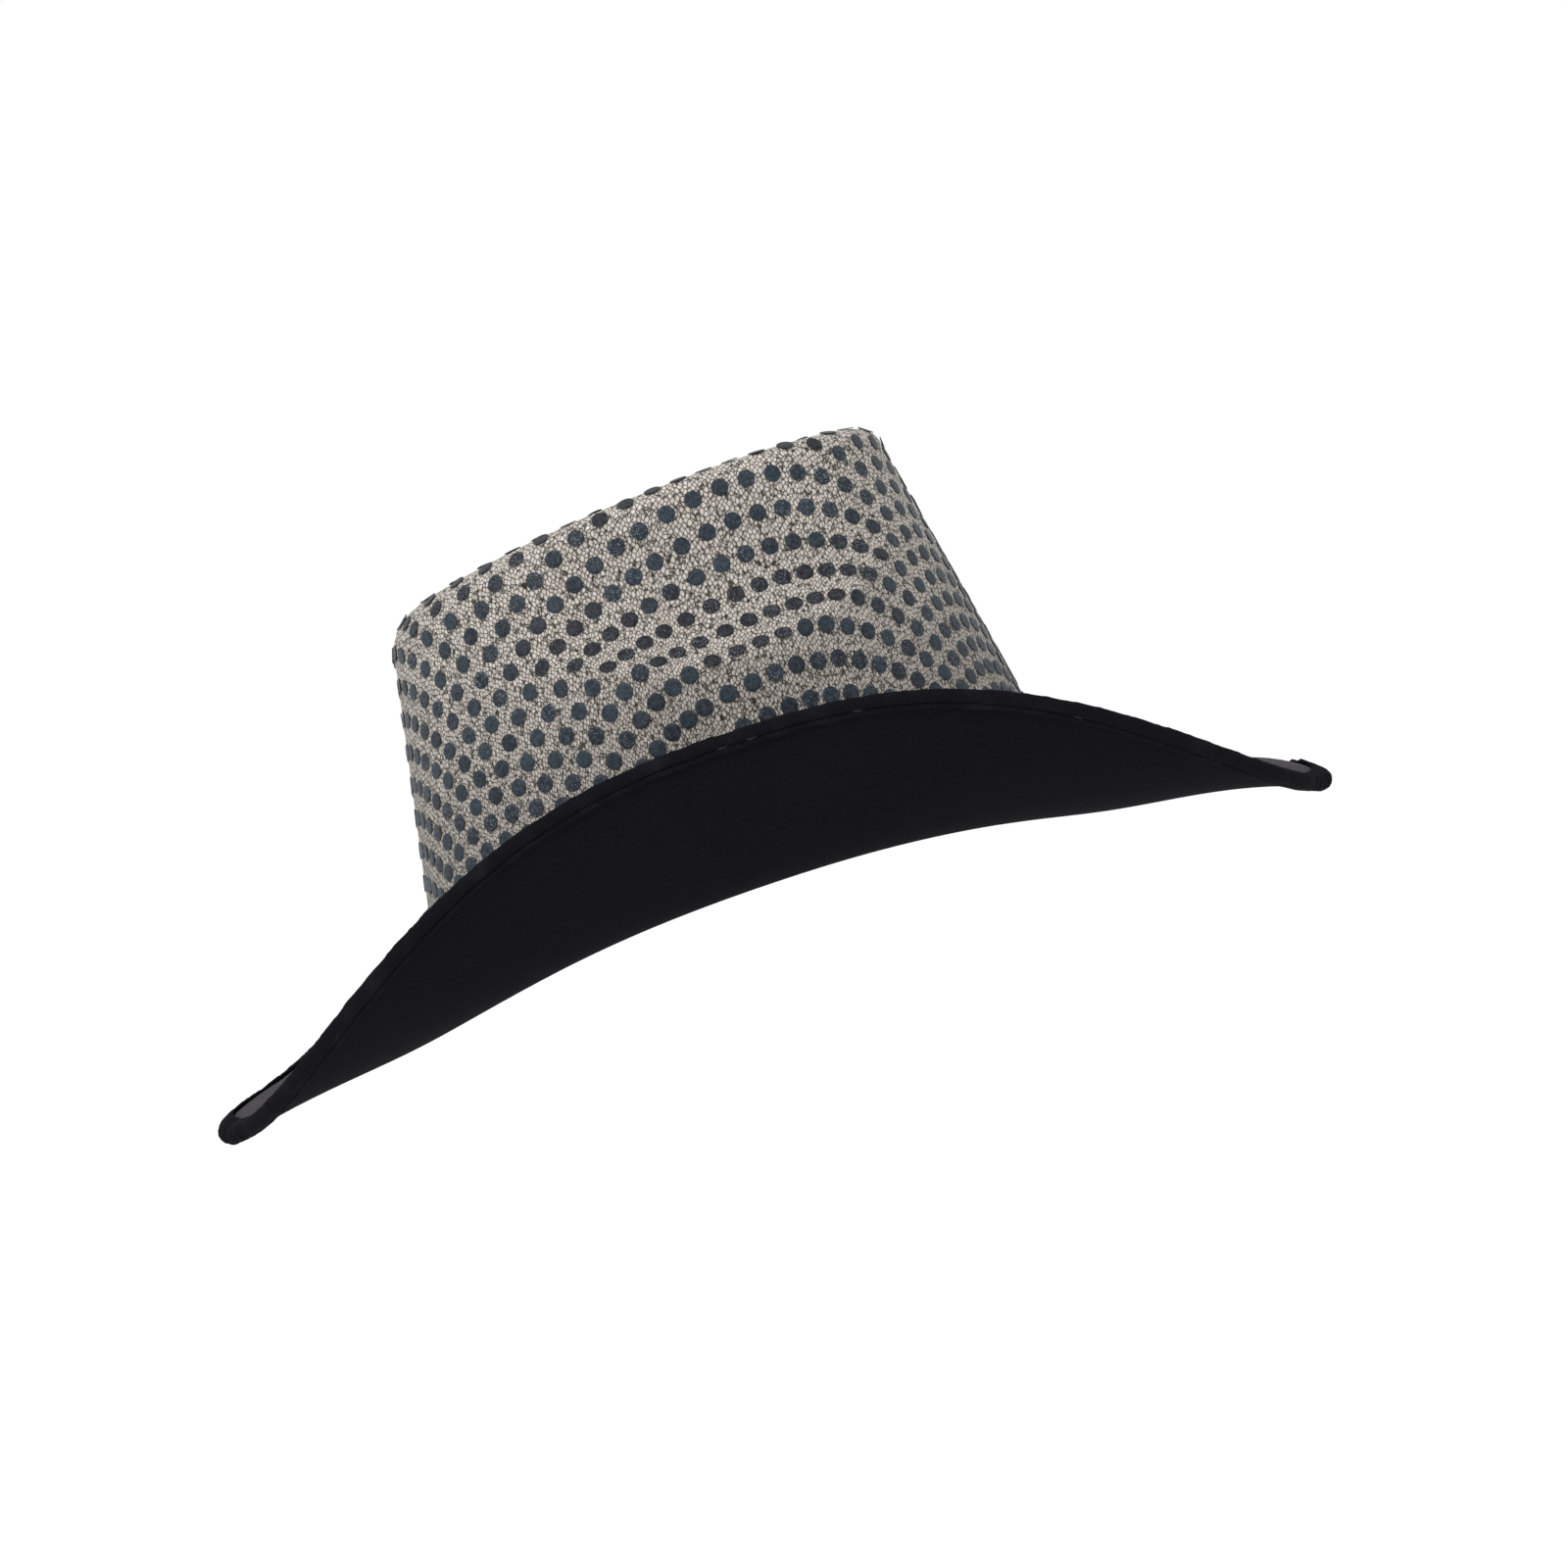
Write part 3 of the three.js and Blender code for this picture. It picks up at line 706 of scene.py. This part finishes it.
class Finish:
    """A procedural material: helpers that add nodes and hand back their output sockets."""

    def __init__(self, name):
        self.material = bpy.data.materials.new(name)
        self.material.use_nodes = True
        self.tree = self.material.node_tree
        self.tree.nodes.clear()
        self.shader = self.node("ShaderNodeBsdfPrincipled")
        output = self.node("ShaderNodeOutputMaterial")
        self.tree.links.new(self.shader.outputs["BSDF"], output.inputs["Surface"])

    def node(self, kind, **settings):
        made = self.tree.nodes.new(kind)
        for key, value in settings.items():
            setattr(made, key, value)
        return made

    def feed(self, socket, value):
        if isinstance(value, bpy.types.NodeSocket):
            self.tree.links.new(value, socket)
        else:
            socket.default_value = value

    def cloth(self):
        """Coordinates on the flat cloth, in metres."""
        return self.node("ShaderNodeUVMap", uv_map="cloth").outputs["UV"]

    def place(self):
        """Coordinates in the hat's own frame, in metres."""
        return self.node("ShaderNodeTexCoord").outputs["Object"]

    def scaled(self, vector, scale, turn=0.0):
        made = self.node("ShaderNodeMapping")
        self.feed(made.inputs["Vector"], vector)
        made.inputs["Scale"].default_value = scale
        made.inputs["Rotation"].default_value = (0, 0, turn)
        return made.outputs["Vector"]

    def noise(self, vector, scale, detail=2.0, roughness=0.5, distortion=0.0):
        made = self.node("ShaderNodeTexNoise")
        self.feed(made.inputs["Vector"], vector)
        made.inputs["Scale"].default_value = scale
        made.inputs["Detail"].default_value = detail
        made.inputs["Roughness"].default_value = roughness
        made.inputs["Distortion"].default_value = distortion
        return made

    def cells(self, vector, scale, feature="F1", randomness=1.0):
        made = self.node("ShaderNodeTexVoronoi", feature=feature)
        self.feed(made.inputs["Vector"], vector)
        made.inputs["Scale"].default_value = scale
        made.inputs["Randomness"].default_value = randomness
        return made

    def stripes(self, vector, scale, direction="X", distortion=0.0, detail=1.0):
        made = self.node("ShaderNodeTexWave", wave_type="BANDS", bands_direction=direction)
        self.feed(made.inputs["Vector"], vector)
        made.inputs["Scale"].default_value = scale
        made.inputs["Distortion"].default_value = distortion
        made.inputs["Detail"].default_value = detail
        return made.outputs["Fac"]

    def math(self, operation, a, b=0.0):
        made = self.node("ShaderNodeMath", operation=operation)
        self.feed(made.inputs[0], a)
        self.feed(made.inputs[1], b)
        return made.outputs[0]

    def shift(self, vector, offset, amount):
        """The vector moved by a noise colour, centred on zero."""
        centred = self.node("ShaderNodeVectorMath", operation="SUBTRACT")
        self.feed(centred.inputs[0], offset)
        centred.inputs[1].default_value = (0.5, 0.5, 0.5)
        sized = self.node("ShaderNodeVectorMath", operation="SCALE")
        self.feed(sized.inputs[0], centred.outputs[0])
        sized.inputs["Scale"].default_value = amount
        added = self.node("ShaderNodeVectorMath", operation="ADD")
        self.feed(added.inputs[0], vector)
        self.feed(added.inputs[1], sized.outputs[0])
        return added.outputs[0]

    def span(self, value, low, high, to_low=0.0, to_high=1.0):
        made = self.node("ShaderNodeMapRange")
        self.feed(made.inputs["Value"], value)
        for key, number in zip(("From Min", "From Max", "To Min", "To Max"), (low, high, to_low, to_high)):
            made.inputs[key].default_value = number
        return made.outputs["Result"]

    def mix(self, factor, a, b, blend="MIX"):
        made = self.node("ShaderNodeMix", data_type="RGBA", blend_type=blend)
        self.feed(made.inputs[0], factor)
        self.feed(made.inputs[6], a)
        self.feed(made.inputs[7], b)
        return made.outputs[2]

    def split(self, colour):
        made = self.node("ShaderNodeSeparateColor")
        self.feed(made.inputs["Color"], colour)
        return made.outputs

    def bump(self, height, distance, strength=1.0):
        made = self.node("ShaderNodeBump")
        made.inputs["Distance"].default_value = distance
        made.inputs["Strength"].default_value = strength
        self.feed(made.inputs["Height"], height)
        self.tree.links.new(made.outputs["Normal"], self.shader.inputs["Normal"])

    def surface(self, colour, roughness, specular=0.2, sheen=0.0, metallic=0.0):
        self.feed(self.shader.inputs["Base Color"], colour)
        self.feed(self.shader.inputs["Roughness"], roughness)
        self.shader.inputs["Specular IOR Level"].default_value = specular
        self.shader.inputs["Sheen Weight"].default_value = sheen
        self.shader.inputs["Sheen Roughness"].default_value = 0.4
        self.shader.inputs["Metallic"].default_value = metallic
        return self.material


def knit_material():
    """Open warp knit: pale beads of yarn with dark gaps, and darker wales towards the front and back;
    painted shade darkens the foot of the wall and each bead's rim, leaving a painted highlight at each
    bead's centre.
    """
    f = Finish("sequin_knit")
    flat = f.cloth()
    wander = f.noise(flat, 420, 2)
    loops = f.shift(f.scaled(flat, (1, 0.86, 1), KNIT_TURN), wander.outputs["Color"], 0.0005)
    edges = f.cells(loops, KNIT_CELLS, "DISTANCE_TO_EDGE", 0.6).outputs["Distance"]
    bead = f.cells(loops, KNIT_CELLS, "F1", 0.6)
    tone = f.split(bead.outputs["Color"])
    wales = f.span(f.stripes(f.shift(flat, wander.outputs["Color"], 0.0011), 160, "X", 0.6), 0.05, 0.45)
    along = f.math("ABSOLUTE", f.split(f.place())["Green"])
    depth = f.span(along, 0.05, 0.1, 0.1, 0.5)
    dimmed = f.math("MULTIPLY", depth, f.math("SUBTRACT", 1.0, wales))
    gap = f.math("MULTIPLY", f.span(edges, 0.02, 0.12), f.math("SUBTRACT", 1.0, dimmed))
    loop = f.mix(tone["Red"], srgb(186, 181, 174), srgb(210, 206, 198))
    loop = f.mix(f.math("MULTIPLY", tone["Green"], 0.35), loop, srgb(214, 194, 180))
    yarn = f.noise(flat, 2200, 2).outputs["Fac"]
    loop = f.mix(f.span(yarn, 0.52, 0.32, 0.0, 0.35), loop, srgb(110, 104, 97))
    # Painted shade on each bead: darker towards its rim, with a painted highlight at its centre.
    loop = f.mix(f.span(bead.outputs["Distance"], 0.3, 0.65, 0.0, 0.35), loop, srgb(112, 107, 101))
    broad = f.noise(flat, 55, 3).outputs["Fac"]
    loop = f.mix(f.span(broad, 0.35, 0.7, 0.0, 0.22), loop, srgb(160, 154, 143))
    # Painted shade: the knit darkens towards the foot of the wall, next to the brim.
    height = f.split(f.place())["Blue"]
    loop = f.mix(f.span(height, 0.0, 0.11, 0.42, 0.0), loop, srgb(132, 126, 117))
    colour = f.mix(gap, srgb(48, 46, 43), loop)
    f.bump(gap, 0.0004, 0.7)
    return f.surface(colour, f.span(gap, 0, 1, 0.95, 0.7), 0.12, 0.1)


def sequin_material():
    """Film discs with painted reflection: blue-grey where they face out, paler where they face down and
    near black where they face up, all mottled, with painted glints.
    """
    f = Finish("sequins")
    tone = f.split(f.node("ShaderNodeVertexColor", layer_name="tone").outputs["Color"])
    place = f.place()
    side = f.mix(tone["Green"], srgb(30, 36, 43), srgb(42, 54, 62))
    side = f.mix(f.math("MULTIPLY", tone["Blue"], 0.5), side, srgb(36, 37, 47))
    # Painted reflection by facing: downward-facing sequins are painted paler and upward-facing ones near
    # black.
    pale = f.mix(f.span(tone["Red"], 0.34, 0.5), srgb(60, 65, 77), side)
    colour = f.mix(f.span(tone["Red"], 0.6, 0.74), pale, srgb(21, 18, 22))
    mottle = f.noise(place, 900, 4, 0.7, 0.6).outputs["Fac"]
    colour = f.mix(f.span(mottle, 0.45, 0.7, 0.0, 0.5), colour, srgb(74, 86, 96))
    colour = f.mix(f.span(mottle, 0.5, 0.3, 0.0, 0.6), colour, srgb(14, 16, 24))
    wander = f.noise(place, 700, 2).outputs["Color"]
    # Painted glints: small bright specks scattered over the discs.
    specks = f.cells(f.shift(place, wander, 0.0006), 1500).outputs["Distance"]
    painted_glints = f.math("MULTIPLY", f.span(specks, 0.3, 0.1), f.span(tone["Blue"], 0.4, 0.9, 0.12, 0.9))
    colour = f.mix(painted_glints, colour, srgb(150, 160, 166))
    f.bump(mottle, 0.0002, 0.5)
    return f.surface(colour, f.span(mottle, 0.3, 0.7, 0.35, 0.6), 0.15)


def felt_material(name, dark, light, specular=0.05):
    """Pressed felt: fine matted fibres, faint broad shading and a little lint."""
    f = Finish(name)
    place = f.place()
    fibres = f.noise(f.scaled(place, (1, 0.25, 1), 0.6), 1600, 4, 0.7, 1.5).outputs["Fac"]
    crossed = f.noise(f.scaled(place, (0.25, 1, 1), -0.4), 1500, 4, 0.7, 1.5).outputs["Fac"]
    matted = f.math("MULTIPLY", f.math("ADD", fibres, crossed), 0.5)
    broad = f.noise(place, 22, 3).outputs["Fac"]
    colour = f.mix(f.span(matted, 0.38, 0.62), dark, light)
    colour = f.mix(f.span(broad, 0.35, 0.7, 0.0, 0.35), colour, light)
    lint = f.cells(f.shift(place, f.noise(place, 300, 2).outputs["Color"], 0.004), 260).outputs["Distance"]
    colour = f.mix(f.span(lint, 0.05, 0.02, 0.0, 0.25), colour, srgb(70, 70, 74))
    f.bump(matted, 0.0003, 0.35)
    return f.surface(colour, 0.95, specular)


def satin_material():
    """Charcoal satin with a fine rib that runs from front to back."""
    f = Finish("charcoal_satin")
    place = f.place()
    wander = f.noise(place, 60, 2).outputs["Color"]
    bent = f.shift(place, wander, 0.0015)
    ribs = f.stripes(bent, 260, "X", 0.8)
    threads = f.noise(f.scaled(bent, (1, 0.05, 1)), 2400, 3, 0.6).outputs["Fac"]
    grain = f.math("MULTIPLY", f.math("ADD", ribs, threads), 0.5)
    colour = f.mix(f.span(grain, 0.25, 0.75), srgb(36, 34, 38), srgb(86, 82, 89))
    broad = f.noise(place, 30, 3).outputs["Fac"]
    colour = f.mix(f.span(broad, 0.4, 0.7, 0.0, 0.3), colour, srgb(22, 21, 25))
    f.bump(grain, 0.0002, 0.5)
    return f.surface(colour, f.span(grain, 0.2, 0.8, 0.9, 0.7), 0.03)


def tape_material(name, rib_scale, dark, light, specular=0.12):
    """Grosgrain tape: ribs across its length, woven threads, dusty worn patches."""
    f = Finish(name)
    flat = f.cloth()
    bent = f.shift(flat, f.noise(flat, 260, 2).outputs["Color"], 0.0006)
    ribs = f.stripes(bent, rib_scale, "X", 0.5)
    threads = f.noise(f.scaled(bent, (1, 0.3, 1)), 2600, 3, 0.7).outputs["Fac"]
    worn = f.noise(flat, 90, 4, 0.6).outputs["Fac"]
    weave = f.math("ADD", f.math("MULTIPLY", ribs, 0.5), f.math("MULTIPLY", threads, 0.5))
    colour = f.mix(f.span(weave, 0.25, 0.8), dark, light)
    colour = f.mix(f.span(worn, 0.5, 0.75, 0.0, 0.3), colour, srgb(40, 40, 46))
    f.bump(weave, 0.00035, 0.6)
    return f.surface(colour, 0.9, specular)


def thread_material():
    """Twisted polyester thread, most of it dark, with some stitches painted pale as painted glints."""
    f = Finish("thread")
    tone = f.split(f.node("ShaderNodeVertexColor", layer_name="tone").outputs["Color"])
    place = f.place()
    twist = f.noise(place, 2600, 2, 0.6).outputs["Fac"]
    plain = f.mix(tone["Green"], srgb(6, 6, 8), srgb(13, 13, 16))
    # Painted glints: the stitches marked in the tone's red are painted pale.
    colour = f.mix(tone["Red"], plain, srgb(70, 69, 71))
    colour = f.mix(f.span(twist, 0.4, 0.6, 0.0, 0.4), colour, srgb(18, 18, 20))
    f.bump(twist, 0.0002, 0.5)
    return f.surface(colour, 0.8, 0.04)


def wire_material():
    """Drawn steel with fine lines along it and dull spots."""
    f = Finish("shaping_wire")
    place = f.place()
    lines = f.noise(f.scaled(place, (1, 0.1, 1)), 3000, 3, 0.6).outputs["Fac"]
    spots = f.noise(place, 240, 4, 0.6).outputs["Fac"]
    colour = f.mix(f.span(lines, 0.35, 0.65), srgb(150, 152, 155), srgb(190, 192, 195))
    colour = f.mix(f.span(spots, 0.55, 0.75, 0.0, 0.6), colour, srgb(100, 92, 84))
    f.bump(lines, 0.00005, 0.4)
    return f.surface(colour, f.span(spots, 0.3, 0.7, 0.25, 0.5), 0.5, 0.0, 1.0)


# ------------------------------------------------------------------ pieces

def add_piece(piece, material, slot, *nodes):
    piece.data.materials.append(material)
    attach(piece, "root")
    if nodes:
        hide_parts(*nodes)
    return piece


FELT_BLACK = felt_material("black_felt", srgb(12, 12, 14), srgb(21, 21, 24), 0.02)
FELT_BOARD = felt_material("board_felt", srgb(34, 34, 36), srgb(58, 58, 60))
THREAD = thread_material()

knit = add_piece(
    dome_body("crown_knit", KNIT_LAYER, crown_rows(56, 10, 26), 320),
    knit_material(), "sequin_knit", "crown_cover",
)
sequins = add_piece(make_sequins(), sequin_material(), "sequins")
shell = add_piece(
    dome_body("crown_felt_shell", SHELL_LAYER, crown_rows(48, 8, 22), 240),
    FELT_BOARD, "board_felt", "crown_shell",
)
underside = add_piece(
    brim_layer("underside_felt", UNDERSIDE_LAYER, unevenness=0.12, seed=11),
    FELT_BLACK, "black_felt", "brim_underside",
)
core = add_piece(
    brim_layer("brim_felt_core", CORE_LAYER, count=300, rows=18),
    FELT_BOARD, "board_felt", "brim_core",
)
top_cover = add_piece(
    brim_layer("brim_top_satin", TOP_COVER_LAYER),
    satin_material(), "charcoal_satin", "brim_top_cover",
)
binding = add_piece(
    make_binding(),
    tape_material("binding_tape", 420, srgb(9, 9, 11), srgb(26, 25, 30), 0.02),
    "binding_tape", "edge_binding",
)
binding_stitches = add_piece(
    stitch_line("binding_stitches", binding_seam, 4.2, 0.8, 0.2, 0.3, 0.07),
    THREAD, "thread", "binding_stitching",
)
sweatband = add_piece(
    make_sweatband(),
    tape_material("ribbon", 210, srgb(14, 14, 16), srgb(34, 34, 38)), "ribbon", "sweatband",
)
sweatband_stitches = add_piece(
    stitch_line("sweatband_stitches", sweatband_seam, 4.0, 0.72, 0.24, 0.3, 0.05),
    THREAD, "thread", "sweatband_stitching",
)

WIRE = wire_material()
for node in ("brim_wire", "wire_ferrule"):
    wire = bpy.data.objects[node]
    for slot in wire.material_slots:
        slot.material = WIRE


# ------------------------------------------------------------- view and light

def make_camera():
    azimuth, elevation, roll = (math.radians(v) for v in (VIEW_AZIMUTH, VIEW_ELEVATION, VIEW_ROLL))
    flat = Vector((math.cos(azimuth), -math.sin(azimuth), 0))
    back = flat * math.cos(elevation) + Vector((0, 0, math.sin(elevation)))
    right = Vector((math.sin(azimuth), math.cos(azimuth), 0))
    up = back.cross(right)
    rolled_right = right * math.cos(roll) - up * math.sin(roll)
    rolled_up = right * math.sin(roll) + up * math.cos(roll)
    data = bpy.data.cameras.new("view")
    data.lens = LENS_MM
    data.sensor_width = SENSOR_MM
    data.clip_start, data.clip_end = 0.01, 100
    camera = bpy.data.objects.new("view", data)
    bpy.context.scene.collection.objects.link(camera)
    turned = Matrix((rolled_right, rolled_up, back)).transposed().to_4x4()
    camera.matrix_world = Matrix.Translation(Vector(VIEW_TARGET) + back * VIEW_DISTANCE) @ turned
    bpy.context.scene.camera = camera


def make_floor():
    size, level = 40.0, -0.9
    corners = [(x * size, y * size, level) for x, y in ((-1, -1), (1, -1), (1, 1), (-1, 1))]
    mesh = bpy.data.meshes.new("floor")
    mesh.from_pydata(corners, [], [(0, 1, 2, 3)])
    floor = bpy.data.objects.new("floor", mesh)
    bpy.context.scene.collection.objects.link(floor)
    f = Finish("floor")
    broad = f.noise(f.place(), 3, 2).outputs["Fac"]
    mesh.materials.append(f.surface(f.mix(broad, (0.93, 0.93, 0.93, 1), (0.96, 0.96, 0.96, 1)), 1.0, 0.0))


def add_area_light(name, place, target, size, power):
    data = bpy.data.lights.new(name, "AREA")
    data.shape = "DISK"
    data.size = size
    data.energy = power
    light = bpy.data.objects.new(name, data)
    light.location = place
    light.rotation_mode = "QUATERNION"
    light.rotation_quaternion = (Vector(target) - Vector(place)).to_track_quat("-Z", "Y")
    bpy.context.scene.collection.objects.link(light)


def make_light():
    world = bpy.data.worlds.new("studio")
    world.use_nodes = True
    background = world.node_tree.nodes["Background"]
    background.inputs["Color"].default_value = (1, 1, 1, 1)
    background.inputs["Strength"].default_value = 1.0
    bpy.context.scene.world = world
    add_area_light("key", (1.6, -0.9, 1.7), (0, 0, 0.03), 1.4, 24)
    fill = bpy.data.lights.new("fill", "SUN")
    fill.energy = 0.35
    fill.angle = math.radians(60)
    sun = bpy.data.objects.new("fill", fill)
    bpy.context.scene.collection.objects.link(sun)
    bpy.context.scene.view_settings.view_transform = "Standard"


make_camera()
make_floor()
make_light()
